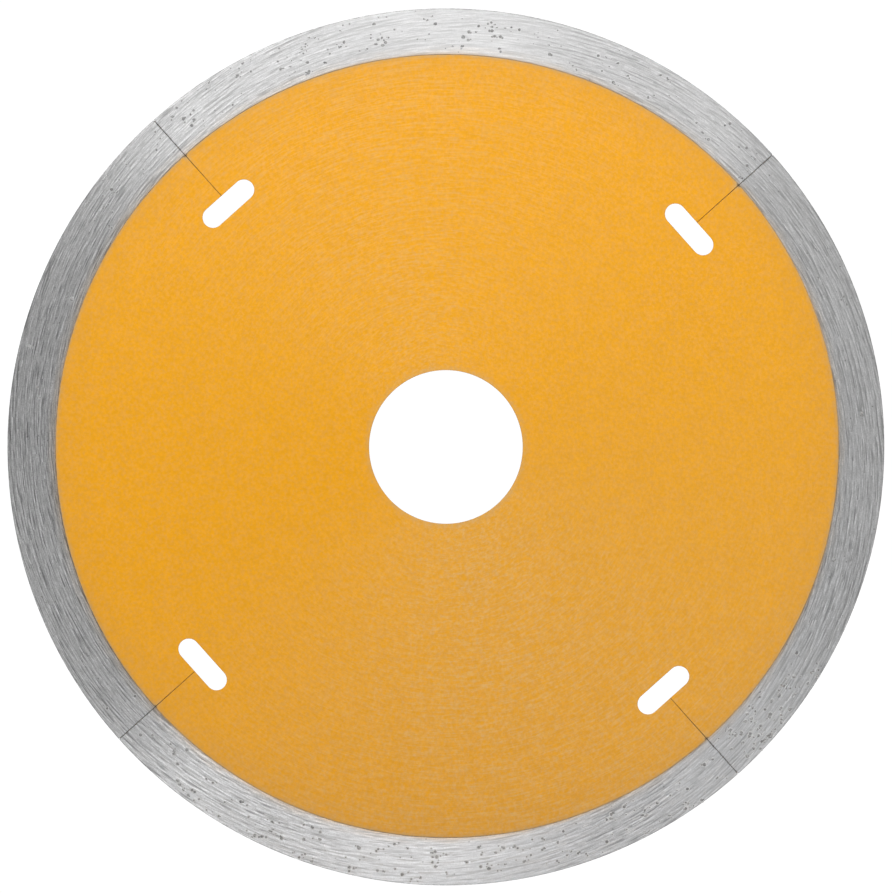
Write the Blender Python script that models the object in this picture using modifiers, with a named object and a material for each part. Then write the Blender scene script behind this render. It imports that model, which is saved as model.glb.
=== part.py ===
"""Diamond blade for a small angle grinder or tile saw, built as an assembly of separate solids.

A flat steel core carries a sintered diamond rim. Four radial slits part the rim into quarters, and each
runs on into the core as far as a rounded slot that ends it. Between each rim quarter and the core is a
bond strip without diamond: it laps over both faces of the core's edge and fills the dovetail notches
there, which is how the rim is held. A paint film covers each face of the core, with the same holes.

The blade is drawn lying flat with its front face up, angles running counterclockwise from +X as seen on
that face. The empty that all the pieces hang from then stands it up like a wheel: the spin axis lies
along Y, the front face looks to -Y, and the origin is the centre of the bore at mid thickness.
"""

import math

import bmesh
import bpy

MM = 0.001

# Driving dimensions
BLADE_RADIUS = 63.5 * MM
BORE_RADIUS = 11.115 * MM
RIM_HEIGHT = 6.8 * MM
RIM_THICKNESS = 1.6 * MM
CORE_THICKNESS = 1.2 * MM
PAINT_THICKNESS = 0.08 * MM
FIT_GAP = 0.02 * MM  # between neighbouring pieces: the whole blade is only 1.6 mm thick

# Slits and the slots that they end in
QUARTERS = 4
FIRST_SLIT_ANGLE = math.radians(41.8)
SLIT_WIDTH = 0.12 * MM
SLOT_RADIUS = 47.26 * MM
SLOT_LENGTH = 9.0 * MM
SLOT_WIDTH = 3.0 * MM

# The rim's foot and the core's edge that it clasps
BOND_HEIGHT = 1.8 * MM
LAP_DEPTH = 1.0 * MM
NOTCHES = 24
NOTCH_DEPTH = 0.6 * MM
NOTCH_MOUTH = 1.4 * MM
NOTCH_ROOT = 2.0 * MM
RIM_EDGE_ROUND = 0.12 * MM

# Roundness
RING_STEPS = 144
BORE_STEPS = 96
SLOT_END_STEPS = 10
EDGE_ROUND_STEPS = 3

# Worked out from the above
PAINT_RADIUS = BLADE_RADIUS - RIM_HEIGHT
CORE_RADIUS = PAINT_RADIUS + LAP_DEPTH
BOND_RADIUS = PAINT_RADIUS + BOND_HEIGHT
PAINT_BORE_RADIUS = BORE_RADIUS + 2 * FIT_GAP
PAINT_LIFT = (CORE_THICKNESS + PAINT_THICKNESS) / 2 + FIT_GAP
QUARTER_TURN = 2 * math.pi / QUARTERS
CUTTER_HEIGHT = 4 * RIM_THICKNESS
WELD_DISTANCE = 1e-7


def clear_scene():
    """Remove every object of the scene that the script starts in."""
    for old in list(bpy.data.objects):
        bpy.data.objects.remove(old, do_unlink=True)


def new_collection(name):
    collection = bpy.data.collections.new(name)
    bpy.context.scene.collection.children.link(collection)
    return collection


def finish(name, colour, metallic, roughness):
    """A Principled material in one plain colour."""
    material = bpy.data.materials.new(name)
    material.use_nodes = True
    shader = material.node_tree.nodes["Principled BSDF"]
    shader.inputs["Base Color"].default_value = (*colour, 1.0)
    shader.inputs["Metallic"].default_value = metallic
    shader.inputs["Roughness"].default_value = roughness
    return material


def polar(radius, angle):
    return (radius * math.cos(angle), radius * math.sin(angle))


def circle(radius, steps):
    """A closed outline whose corners fall on the slits, so that circles of one step count stay parallel."""
    return [polar(radius, FIRST_SLIT_ANGLE + 2 * math.pi * i / steps) for i in range(steps)]


def slit_angles():
    return [FIRST_SLIT_ANGLE + QUARTER_TURN * i for i in range(QUARTERS)]


def slot(angle, margin):
    """A rounded slot across the radius at an angle, wider all round by the margin."""
    centre_x, centre_y = polar(SLOT_RADIUS, angle)
    along = angle + math.pi / 2
    reach = (SLOT_LENGTH - SLOT_WIDTH) / 2
    points = []
    for end in (0, 1):
        facing = along + math.pi * end
        end_x = centre_x + reach * math.cos(facing)
        end_y = centre_y + reach * math.sin(facing)
        for i in range(SLOT_END_STEPS + 1):
            turn = facing - math.pi / 2 + math.pi * i / SLOT_END_STEPS
            offset_x, offset_y = polar(SLOT_WIDTH / 2 + margin, turn)
            points.append((end_x + offset_x, end_y + offset_y))
    return points


def notched_edge(margin):
    """The core's edge: a circle with dovetail notches, the steel standing out by the margin all round."""
    edge = CORE_RADIUS + margin
    root = CORE_RADIUS - NOTCH_DEPTH + margin
    half_mouth = NOTCH_MOUTH / 2 - margin
    half_root = NOTCH_ROOT / 2 - margin
    steps_per_notch = RING_STEPS // NOTCHES
    step = 2 * math.pi / RING_STEPS
    points = []
    for i in range(NOTCHES):
        middle = FIRST_SLIT_ANGLE + (i + 0.5) * steps_per_notch * step
        points.append(polar(edge, middle - half_mouth / edge))
        points.append(polar(root, middle - half_root / root))
        points.append(polar(root, middle + half_root / root))
        points.append(polar(edge, middle + half_mouth / edge))
        points += [polar(edge, middle + k * step) for k in range(1, steps_per_notch)]
    return points


def plate(name, outlines, thickness, lift=0.0):
    """A flat plate from closed outlines, the inner ones being holes, as a welded mesh object."""
    curve = bpy.data.curves.new(name, "CURVE")
    curve.dimensions = "2D"
    curve.fill_mode = "BOTH"
    curve.extrude = thickness / 2
    for outline in outlines:
        spline = curve.splines.new("POLY")
        spline.points.add(len(outline) - 1)
        spline.use_cyclic_u = True
        for point, (x, y) in zip(spline.points, outline):
            point.co = (x, y, 0.0, 1.0)
    drawn = bpy.data.objects.new(name + "_outline", curve)
    bpy.context.scene.collection.objects.link(drawn)
    graph = bpy.context.evaluated_depsgraph_get()
    mesh = bpy.data.meshes.new_from_object(drawn.evaluated_get(graph))
    bpy.data.objects.remove(drawn)
    bpy.data.curves.remove(curve)
    weld(mesh)
    mesh.name = name
    solid = bpy.data.objects.new(name, mesh)
    solid.location.z = lift
    return solid


def weld(mesh):
    """Join a plate's loose caps to its sides."""
    cage = bmesh.new()
    cage.from_mesh(mesh)
    bmesh.ops.remove_doubles(cage, verts=cage.verts, dist=WELD_DISTANCE)
    bmesh.ops.recalc_face_normals(cage, faces=cage.faces)
    cage.to_mesh(mesh)
    cage.free()


def turned(name, profile):
    """A ring turned about Z from a closed profile of radius and height, listed clockwise."""
    mesh = bpy.data.meshes.new(name)
    edges = [(i, (i + 1) % len(profile)) for i in range(len(profile))]
    mesh.from_pydata([(radius, 0.0, height) for radius, height in profile], edges, [])
    ring = bpy.data.objects.new(name, mesh)
    ring.rotation_euler.z = FIRST_SLIT_ANGLE
    screw = ring.modifiers.new("turn", "SCREW")
    screw.axis = "Z"
    screw.steps = RING_STEPS
    screw.render_steps = RING_STEPS
    screw.use_merge_vertices = True
    screw.merge_threshold = WELD_DISTANCE
    return ring


def rim_profile():
    """The rim's section above its bond strip, with its two outer edges rounded."""
    inner = BOND_RADIUS + FIT_GAP
    half = RIM_THICKNESS / 2
    centre = BLADE_RADIUS - RIM_EDGE_ROUND
    points = [(inner, half)]
    for side, first in ((1, math.pi / 2), (-1, 0.0)):
        for i in range(EDGE_ROUND_STEPS + 1):
            turn = first - math.pi / 2 * i / EDGE_ROUND_STEPS
            across, up = polar(RIM_EDGE_ROUND, turn)
            points.append((centre + across, side * (half - RIM_EDGE_ROUND) + up))
    points.append((inner, -half))
    return points


def bond_profile():
    """The bond strip's section before the core's edge is taken out of it."""
    half = RIM_THICKNESS / 2
    return [(PAINT_RADIUS, half), (BOND_RADIUS, half), (BOND_RADIUS, -half), (PAINT_RADIUS, -half)]


def box_mesh(name, length, width, height):
    """A box mesh with its lower left corner on the origin and its height centred on it."""
    mesh = bpy.data.meshes.new(name)
    cage = bmesh.new()
    bmesh.ops.create_cube(cage, size=1.0)
    for vertex in cage.verts:
        vertex.co.x = (vertex.co.x + 0.5) * length
        vertex.co.y = (vertex.co.y + 0.5) * width
        vertex.co.z *= height
    cage.to_mesh(mesh)
    cage.free()
    return mesh


def slit_cutter(name, angle, width):
    """A thin blade that saws one slit, from the middle of its slot out past the rim."""
    mesh = box_mesh(name, BLADE_RADIUS, width, CUTTER_HEIGHT)
    cutter = bpy.data.objects.new(name, mesh)
    start_x, start_y = polar(SLOT_RADIUS, angle)
    cutter.location = (start_x + width / 2 * math.sin(angle), start_y - width / 2 * math.cos(angle), 0.0)
    cutter.rotation_euler.z = angle
    return cutter


def quarter_cutter(name, angle):
    """A square block that keeps one quarter of a ring, half a slit's width in from both of its ends."""
    cutter = bpy.data.objects.new(name, box_mesh(name, 2 * BLADE_RADIUS, 2 * BLADE_RADIUS, CUTTER_HEIGHT))
    corner = SLIT_WIDTH / 2 * math.sqrt(2)
    cutter.location = (*polar(corner, angle + QUARTER_TURN / 2), 0.0)
    cutter.rotation_euler.z = angle
    return cutter


def boolean(piece, cutter, operation):
    cut = piece.modifiers.new(operation.lower(), "BOOLEAN")
    cut.operation = operation
    cut.solver = "EXACT"
    cut.object = cutter


def add_cutter(cutter, cutters, stand):
    cutter.hide_render = True
    cutter.display_type = "WIRE"
    cutter.parent = stand
    cutters.objects.link(cutter)
    return cutter


def add_piece(piece, material, blade, stand):
    piece.data.materials.append(material)
    piece.parent = stand
    blade.objects.link(piece)


def build_core(blade, cutters, stand, steel):
    """The steel disc: notched edge, bore, four slots and the slits that run out of them."""
    outlines = [notched_edge(0.0), circle(BORE_RADIUS, BORE_STEPS)]
    outlines += [slot(angle, 0.0) for angle in slit_angles()]
    core = plate("core", outlines, CORE_THICKNESS)
    add_piece(core, steel, blade, stand)
    for number, angle in enumerate(slit_angles(), start=1):
        cutter = slit_cutter(f"core_slit_cutter_{number}", angle, SLIT_WIDTH)
        boolean(core, add_cutter(cutter, cutters, stand), "DIFFERENCE")


def build_paint(blade, cutters, stand, paint):
    """The paint film on each face of the core, open over the bore, the slots and the slits."""
    outlines = [circle(PAINT_RADIUS - FIT_GAP, RING_STEPS), circle(PAINT_BORE_RADIUS, BORE_STEPS)]
    outlines += [slot(angle, FIT_GAP) for angle in slit_angles()]
    sawing = [
        add_cutter(slit_cutter(f"paint_slit_cutter_{i}", angle, SLIT_WIDTH + FIT_GAP), cutters, stand)
        for i, angle in enumerate(slit_angles(), start=1)
    ]
    for name, side in (("paint_front", 1), ("paint_rear", -1)):
        film = plate(name, outlines, PAINT_THICKNESS, lift=side * PAINT_LIFT)
        add_piece(film, paint, blade, stand)
        for cutter in sawing:
            boolean(film, cutter, "DIFFERENCE")


def build_rim(blade, cutters, stand, rim, bond):
    """Four rim quarters and the four bond strips under them, which clasp the core's edge."""
    edge = plate("core_edge_cutter", [notched_edge(FIT_GAP)], CORE_THICKNESS + 2 * FIT_GAP)
    add_cutter(edge, cutters, stand)
    for number, angle in enumerate(slit_angles(), start=1):
        keep = add_cutter(quarter_cutter(f"quarter_cutter_{number}", angle), cutters, stand)
        quarter = turned(f"rim_quarter_{number}", rim_profile())
        add_piece(quarter, rim, blade, stand)
        boolean(quarter, keep, "INTERSECT")
        strip = turned(f"bond_strip_{number}", bond_profile())
        add_piece(strip, bond, blade, stand)
        boolean(strip, keep, "INTERSECT")
        boolean(strip, edge, "DIFFERENCE")


def main():
    clear_scene()
    blade = new_collection("diamond_blade")
    cutters = new_collection("cutters")
    stand = bpy.data.objects.new("spin_axis", None)
    stand.rotation_euler.x = math.pi / 2
    blade.objects.link(stand)

    steel = finish("core_steel", (0.42, 0.42, 0.43), 1.0, 0.4)
    paint = finish("orange_paint", (0.83, 0.385, 0.042), 0.0, 0.42)
    rim = finish("ground_rim", (0.52, 0.52, 0.525), 1.0, 0.36)
    bond = finish("bond_metal", (0.5, 0.47, 0.44), 1.0, 0.4)

    build_core(blade, cutters, stand, steel)
    build_paint(blade, cutters, stand, paint)
    build_rim(blade, cutters, stand, rim, bond)


main()
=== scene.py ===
"""Looks of the diamond blade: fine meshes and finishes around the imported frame.

The blade stands like a wheel with its spin axis along Y and its front face to -Y. Angles run
counterclockwise from +X as seen on the front face, and every mesh lies in the frame's own coordinates,
so that a finish can read a point's radius and angle straight from its place.
"""

import logging
import math
import random
from dataclasses import dataclass
from enum import Enum
from typing import Callable

import bmesh
import bpy
from mathutils import Matrix, Vector, noise


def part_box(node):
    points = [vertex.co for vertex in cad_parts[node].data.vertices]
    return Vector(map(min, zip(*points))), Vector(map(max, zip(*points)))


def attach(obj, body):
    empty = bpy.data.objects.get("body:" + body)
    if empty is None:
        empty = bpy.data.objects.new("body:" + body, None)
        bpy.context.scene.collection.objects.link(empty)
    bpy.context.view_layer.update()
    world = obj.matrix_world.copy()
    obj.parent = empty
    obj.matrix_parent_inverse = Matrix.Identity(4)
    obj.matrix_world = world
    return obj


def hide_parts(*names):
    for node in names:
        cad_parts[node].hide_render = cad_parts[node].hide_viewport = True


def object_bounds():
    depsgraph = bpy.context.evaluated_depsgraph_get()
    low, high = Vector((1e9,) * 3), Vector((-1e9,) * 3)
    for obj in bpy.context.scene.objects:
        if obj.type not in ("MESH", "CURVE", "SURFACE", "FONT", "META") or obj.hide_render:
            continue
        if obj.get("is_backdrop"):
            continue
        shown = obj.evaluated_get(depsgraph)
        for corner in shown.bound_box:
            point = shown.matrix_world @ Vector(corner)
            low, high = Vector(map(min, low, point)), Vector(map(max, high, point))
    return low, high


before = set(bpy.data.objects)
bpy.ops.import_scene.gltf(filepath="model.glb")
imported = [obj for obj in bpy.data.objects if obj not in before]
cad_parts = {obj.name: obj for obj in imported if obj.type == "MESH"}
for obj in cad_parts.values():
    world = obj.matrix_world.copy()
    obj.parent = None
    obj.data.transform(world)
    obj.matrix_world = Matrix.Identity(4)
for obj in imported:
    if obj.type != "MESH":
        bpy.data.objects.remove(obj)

MM = 0.001
ROOT = "root"
LAY = 0.05  # slope of the grinding marks against the circumference
LOG = logging.getLogger("diamond_blade")

Point = tuple[float, float]
Colour = tuple[float, float, float]
Socket = bpy.types.NodeSocket
Outline = list[Point]
Face = tuple[int, ...]
Solid = tuple[list[Vector], list[Face]]
Solids = dict[str, dict[int, list[Solid]]]


class Side(Enum):
    """The two faces of the blade, by the sign of Y that each looks to."""

    FRONT = -1
    REAR = 1


class Slot(Enum):
    """The record's material slots."""

    CORE = "core_steel"
    PAINT = "orange_paint"
    RIM = "rim_metal"
    BOND = "bond_metal"


def polar(radius: float, angle: float) -> Point:
    """Return the point at a radius and an angle on the blade's face."""
    return (radius * math.cos(angle), radius * math.sin(angle))


def beside_ray(radius: float, angle: float, across: float) -> Point:
    """Return the point at a radius along a ray from the centre, moved square to the ray."""
    sine, cosine = math.sin(angle), math.cos(angle)
    return (radius * cosine - across * sine, radius * sine + across * cosine)


def node_radii(node: str) -> Point:
    """Return the least and greatest distance of a CAD node's corners from the spin axis."""
    radii = [math.hypot(v.co.x, v.co.z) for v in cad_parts[node].data.vertices]
    return (min(radii), max(radii))


@dataclass(frozen=True)
class BladeSizes:
    """The sizes that every piece is built from, in metres and radians."""

    bore: float
    core_edge: float
    paint_edge: float
    bond_foot: float
    bond_edge: float
    rim_edge: float
    core_half: float
    paint_inner: float
    paint_outer: float
    rim_half: float
    slot_centre: float = 47.26 * MM
    slot_length: float = 9.0 * MM
    slot_width: float = 3.0 * MM
    slit_width: float = 0.12 * MM
    first_slit: float = math.radians(41.8)
    quarters: int = 4
    foot_drift: tuple[float, float, float] = (0.07 * MM, 0.17 * MM, 0.11 * MM)

    @classmethod
    def from_frame(cls) -> "BladeSizes":
        """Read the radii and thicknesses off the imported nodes.

        Returns:
            The sizes of the blade as the CAD model has them.
        """
        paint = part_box("paint_rear")
        bond_foot, bond_edge = node_radii("bond_strip_1")
        return cls(
            bore=node_radii("core")[0],
            core_edge=node_radii("core")[1],
            paint_edge=node_radii("paint_rear")[1],
            bond_foot=bond_foot,
            bond_edge=bond_edge,
            rim_edge=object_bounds()[1][2],
            core_half=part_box("core")[1][1],
            paint_inner=paint[0][1],
            paint_outer=paint[1][1],
            rim_half=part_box("rim_quarter_1")[1][1],
        )

    def slit(self, number: int) -> float:
        """Return the angle of a slit, counted from 1."""
        return self.first_slit + math.tau * (number - 1) / self.quarters

    def drift(self, angle: float) -> float:
        """Return how far off its CAD radius the rim's foot was ground: a little off centre."""
        mean, along, up = self.foot_drift
        return mean + along * math.cos(angle) + up * math.sin(angle)


# ---------------------------------------------------------------------------------------- meshes


def spread(start: float, end: float, steps: int) -> list[float]:
    """Return evenly spread values from start to end, both included."""
    return [start + (end - start) * i / steps for i in range(steps + 1)]


def tube_faces(lengths: int, corners: int) -> list[Face]:
    """Return the walls and both ends of a tube whose corners are listed ring by ring."""
    faces: list[Face] = []
    for row in range(lengths):
        near, far = row * corners, (row + 1) * corners
        for i in range(corners):
            j = (i + 1) % corners
            faces.append((near + i, near + j, far + j, far + i))
    last = lengths * corners
    return faces + [tuple(range(corners)), tuple(range(last, last + corners))]


def add_object(name: str, data: bpy.types.ID) -> bpy.types.Object:
    """Put an object with the given data into the scene."""
    added = bpy.data.objects.new(name, data)
    bpy.context.scene.collection.objects.link(added)
    return added


def new_piece(name: str, vertices: list[Vector], faces: list[Face], smooth: bool) -> bpy.types.Object:
    """Make a closed mesh object with its faces pointing out, and put it in the scene.

    Args:
        name: The piece's name.
        vertices: Its corners in the frame's coordinates.
        faces: Corner numbers of each face.
        smooth: Whether the faces shade into each other.

    Returns:
        The new object, which rides on the blade.
    """
    mesh = bpy.data.meshes.new(name)
    mesh.from_pydata(vertices, [], faces)
    cage = bmesh.new()
    cage.from_mesh(mesh)
    bmesh.ops.recalc_face_normals(cage, faces=cage.faces)
    cage.to_mesh(mesh)
    cage.free()
    if smooth:
        mesh.shade_smooth()
        mesh.set_sharp_from_angle(angle=math.radians(35))
    piece = add_object(name, mesh)
    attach(piece, ROOT)
    return piece


def sheet_from_outlines(
    name: str, outlines: list[Outline], low: float, high: float, edge_break: float
) -> bpy.types.Object:
    """Cut a flat sheet from closed outlines and stand it in the blade's plane.

    Args:
        name: The piece's name.
        outlines: Closed outlines of (x, z) points, the inner ones being holes.
        low: The sheet's lowest Y.
        high: The sheet's highest Y.
        edge_break: Width of the small bevel round every edge.

    Returns:
        The sheet as a mesh object that rides on the blade.
    """
    curve = bpy.data.curves.new(name, "CURVE")
    curve.dimensions = "2D"
    curve.fill_mode = "BOTH"
    curve.extrude = (high - low) / 2 - edge_break
    curve.bevel_depth = edge_break
    curve.bevel_resolution = 1
    curve.offset = -edge_break
    for outline in outlines:
        spline = curve.splines.new("POLY")
        spline.points.add(len(outline) - 1)
        spline.use_cyclic_u = True
        for point, (x, z) in zip(spline.points, outline):
            point.co = (x, z, 0.0, 1.0)
    drawn = add_object(name + "_outline", curve)
    graph = bpy.context.evaluated_depsgraph_get()
    mesh = bpy.data.meshes.new_from_object(drawn.evaluated_get(graph))
    bpy.data.objects.remove(drawn)
    bpy.data.curves.remove(curve)
    stand_up = Matrix.Translation((0.0, (low + high) / 2, 0.0)) @ Matrix.Rotation(math.pi / 2, 4, "X")
    mesh.transform(stand_up)
    cage = bmesh.new()
    cage.from_mesh(mesh)
    bmesh.ops.remove_doubles(cage, verts=cage.verts, dist=1e-7)
    bmesh.ops.recalc_face_normals(cage, faces=cage.faces)
    cage.to_mesh(mesh)
    cage.free()
    mesh.name = name
    mesh.shade_smooth()
    mesh.set_sharp_from_angle(angle=math.radians(50))
    for face in mesh.polygons:
        face.use_smooth = abs(face.normal.y) < 0.999
    sheet = add_object(name, mesh)
    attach(sheet, ROOT)
    return sheet


def dress(piece: bpy.types.Object, finish: bpy.types.Material, node: str = "") -> None:
    """Give a piece its finish, hide the CAD node it stands for, and report it.

    Args:
        piece: The piece.
        finish: Its material.
        node: The CAD node that the piece stands for, if there is one.
    """
    piece.data.materials.append(finish)
    if node:
        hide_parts(node)
    LOG.info("%s: %d faces", piece.name, len(piece.data.polygons))


@dataclass(frozen=True)
class KeyholeSheet:
    """A flat ring cut like the core: a bore, and slits that run in from the edge to rounded slots."""

    sizes: BladeSizes
    edge: Callable[[float], float]
    bore: float
    slot_margin: float
    slit_width: float
    arc_steps: int = 200
    slot_steps: int = 20
    bore_steps: int = 240

    def outlines(self) -> list[Outline]:
        """Return the outer outline, with its four keyholes, and the bore."""
        outer: Outline = []
        for number in range(1, self.sizes.quarters + 1):
            outer += self._arc(number)
            outer += self._keyhole(self.sizes.slit(number + 1))
        bore = [polar(self.bore, math.tau * i / self.bore_steps) for i in range(self.bore_steps)]
        return [outer, bore]

    def _arc(self, number: int) -> Outline:
        """Return the outer edge from one slit to the next."""
        start, end = self.sizes.slit(number), self.sizes.slit(number + 1)
        lean = math.asin(self.slit_width / 2 / self.edge(start))
        turns = spread(start + lean, end - lean, self.arc_steps)
        return [polar(self.edge(turn), turn) for turn in turns]

    def _keyhole(self, angle: float) -> Outline:
        """Return the way in along a slit, round its slot and out again."""
        half_width = self.sizes.slot_width / 2 + self.slot_margin
        reach = (self.sizes.slot_length - self.sizes.slot_width) / 2
        mouth = self.slit_width / 2
        local: Outline = [(-mouth, half_width)]
        for end, first in ((-reach, math.pi / 2), (reach, -math.pi / 2)):
            for turn in spread(first, first + math.pi, self.slot_steps):
                across, out = polar(half_width, turn)
                local.append((end + across, out))
        local.append((mouth, half_width))
        return [beside_ray(self.sizes.slot_centre + out, angle, across) for across, out in local]


@dataclass(frozen=True)
class Relief:
    """The low ridges that grinding leaves along the circumference, as real height in the mesh."""

    height: float
    ridge: float
    run: float
    lay: float
    seed: float

    def at(self, radius: float, angle: float) -> float:
        """Return the height of the surface at a point of a face."""
        across = (radius + self.lay * radius * angle) / self.ridge
        turn = radius / self.run
        place = Vector((turn * math.cos(angle), turn * math.sin(angle) + self.seed, across))
        return self.height * noise.noise(place)


@dataclass(frozen=True)
class Band:
    """A closed section swept round one quarter of the blade, between two slits."""

    sizes: BladeSizes
    number: int
    relief: Relief
    wall_relief: float = 0.012 * MM
    stations: int = 300

    def sweep(self, name: str, section: list[Point]) -> bpy.types.Object:
        """Sweep the section round the quarter and close both of its ends.

        Args:
            name: The piece's name.
            section: A closed loop of (radius, y) points.

        Returns:
            The quarter as a mesh object.
        """
        start = self.sizes.slit(self.number)
        vertices: list[Vector] = []
        for share in spread(0.0, 1.0, self.stations):
            for radius, depth in section:
                lean = math.asin(self.sizes.slit_width / 2 / radius)
                angle = start + lean + (math.pi / 2 - 2 * lean) * share
                vertices.append(self._place(radius, angle, depth))
        return new_piece(name, vertices, tube_faces(self.stations, len(section)), smooth=True)

    def _place(self, radius: float, angle: float, depth: float) -> Vector:
        """Place one corner, with the foot's drift and the grinding relief on the faces and outer edge."""
        sizes, nearly = self.sizes, 1e-6
        side = math.copysign(1.0, depth)
        foot_share = (sizes.core_edge - radius) / (sizes.core_edge - sizes.bond_foot)
        radius += sizes.drift(angle) * max(foot_share, 0.0)
        if abs(depth) > sizes.rim_half - nearly:
            lift = self.relief.at(radius, angle + (0.0 if side < 0 else 3.0))
            depth = side * (abs(depth) + lift - self.relief.height)
        if radius > sizes.rim_edge - nearly:
            uneven = noise.noise(Vector((angle * 9.0, depth / (0.35 * MM), 4.0)))
            radius -= self.wall_relief * (1.0 + uneven)
        x, z = polar(radius, angle)
        return Vector((x, depth, z))


def rounded_corner(centre: Point, radius: float, first: float, turn: float, steps: int) -> list[Point]:
    """Return a rounded corner of a section, without its two ends."""
    points = []
    for i in range(1, steps):
        across, up = polar(radius, first + turn * i / steps)
        points.append((centre[0] + across, centre[1] + up))
    return points


# --------------------------------------------------------------------------------------- finishes


class Graph:
    """A material's node tree, with short ways to add and join nodes."""

    def __init__(self, name: str) -> None:
        """Start a material whose tree holds only an output and a Principled shader."""
        self.material = bpy.data.materials.new(name)
        self.material.use_nodes = True
        self.tree = self.material.node_tree
        self.shader = self.tree.nodes["Principled BSDF"]

    def node(self, kind: str, **settings: object) -> bpy.types.Node:
        """Add a node of a kind and set the given properties on it."""
        node = self.tree.nodes.new(kind)
        for key, value in settings.items():
            setattr(node, key, value)
        return node

    def feed(self, target: Socket, source: object) -> None:
        """Link a socket to another, or set its own value."""
        if isinstance(source, bpy.types.NodeSocket):
            self.tree.links.new(source, target)
        else:
            target.default_value = source

    def maths(self, operation: str, *sources: object, clamp: bool = False) -> Socket:
        """Add a Math node and return its result."""
        node = self.node("ShaderNodeMath", operation=operation, use_clamp=clamp)
        for target, source in zip(node.inputs, sources):
            self.feed(target, source)
        return node.outputs[0]

    def times(self, first: object, *others: object, clamp: bool = False) -> Socket:
        """Multiply values together."""
        for other in others:
            first = self.maths("MULTIPLY", first, other, clamp=clamp)
        return first

    def plus(self, first: object, *others: object, clamp: bool = False) -> Socket:
        """Add values together."""
        for other in others:
            first = self.maths("ADD", first, other, clamp=clamp)
        return first

    def scaled(self, value: object, factor: object, shift: object, clamp: bool = False) -> Socket:
        """Multiply a value by a factor and add a shift."""
        return self.maths("MULTIPLY_ADD", value, factor, shift, clamp=clamp)

    def join(self, x: object, y: object, z: object) -> Socket:
        """Make a vector from three numbers."""
        node = self.node("ShaderNodeCombineXYZ")
        for target, source in zip(node.inputs, (x, y, z)):
            self.feed(target, source)
        return node.outputs[0]

    def noise(self, place: Socket, detail: float = 2.0, rough: float = 0.5) -> Socket:
        """Add a noise whose size is set by its coordinates, and return its value."""
        node = self.node("ShaderNodeTexNoise")
        self.feed(node.inputs["Vector"], place)
        node.inputs["Scale"].default_value = 1.0
        node.inputs["Detail"].default_value = detail
        node.inputs["Roughness"].default_value = rough
        return node.outputs["Fac"]

    def ramp(self, value: Socket, low: float, high: float, start: float = 0.0, end: float = 1.0) -> Socket:
        """Turn a value between low and high smoothly into one between start and end."""
        node = self.node("ShaderNodeMapRange", interpolation_type="SMOOTHSTEP")
        for target, source in zip(node.inputs, (value, low, high, start, end)):
            self.feed(target, source)
        return node.outputs[0]

    def mix(self, share: object, first: object, second: object) -> Socket:
        """Blend two colours."""
        node = self.node("ShaderNodeMix", data_type="RGBA")
        self.feed(node.inputs["Factor"], share)
        for target, source in ((node.inputs[6], first), (node.inputs[7], second)):
            self.feed(target, (*source, 1.0) if isinstance(source, tuple) else source)
        return node.outputs[2]

    def scale_colour(self, colour: object, amount: Socket) -> Socket:
        """Make a colour lighter or darker by a factor."""
        node = self.node("ShaderNodeVectorMath", operation="SCALE")
        self.feed(node.inputs[0], colour)
        self.feed(node.inputs["Scale"], amount)
        return node.outputs[0]

    def bump(self, height: Socket, depth: float, normal: Socket | None = None) -> Socket:
        """Add a bump of a real depth in metres and return the normal."""
        node = self.node("ShaderNodeBump")
        node.inputs["Strength"].default_value = 1.0
        node.inputs["Distance"].default_value = depth
        self.feed(node.inputs["Height"], height)
        if normal is not None:
            self.feed(node.inputs["Normal"], normal)
        return node.outputs[0]

    def set(self, **values: object) -> None:
        """Set or link inputs of the Principled shader, their names with _ for a space."""
        for key, value in values.items():
            target = self.shader.inputs[key.replace("_", " ")]
            self.feed(target, (*value, 1.0) if isinstance(value, tuple) else value)


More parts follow.
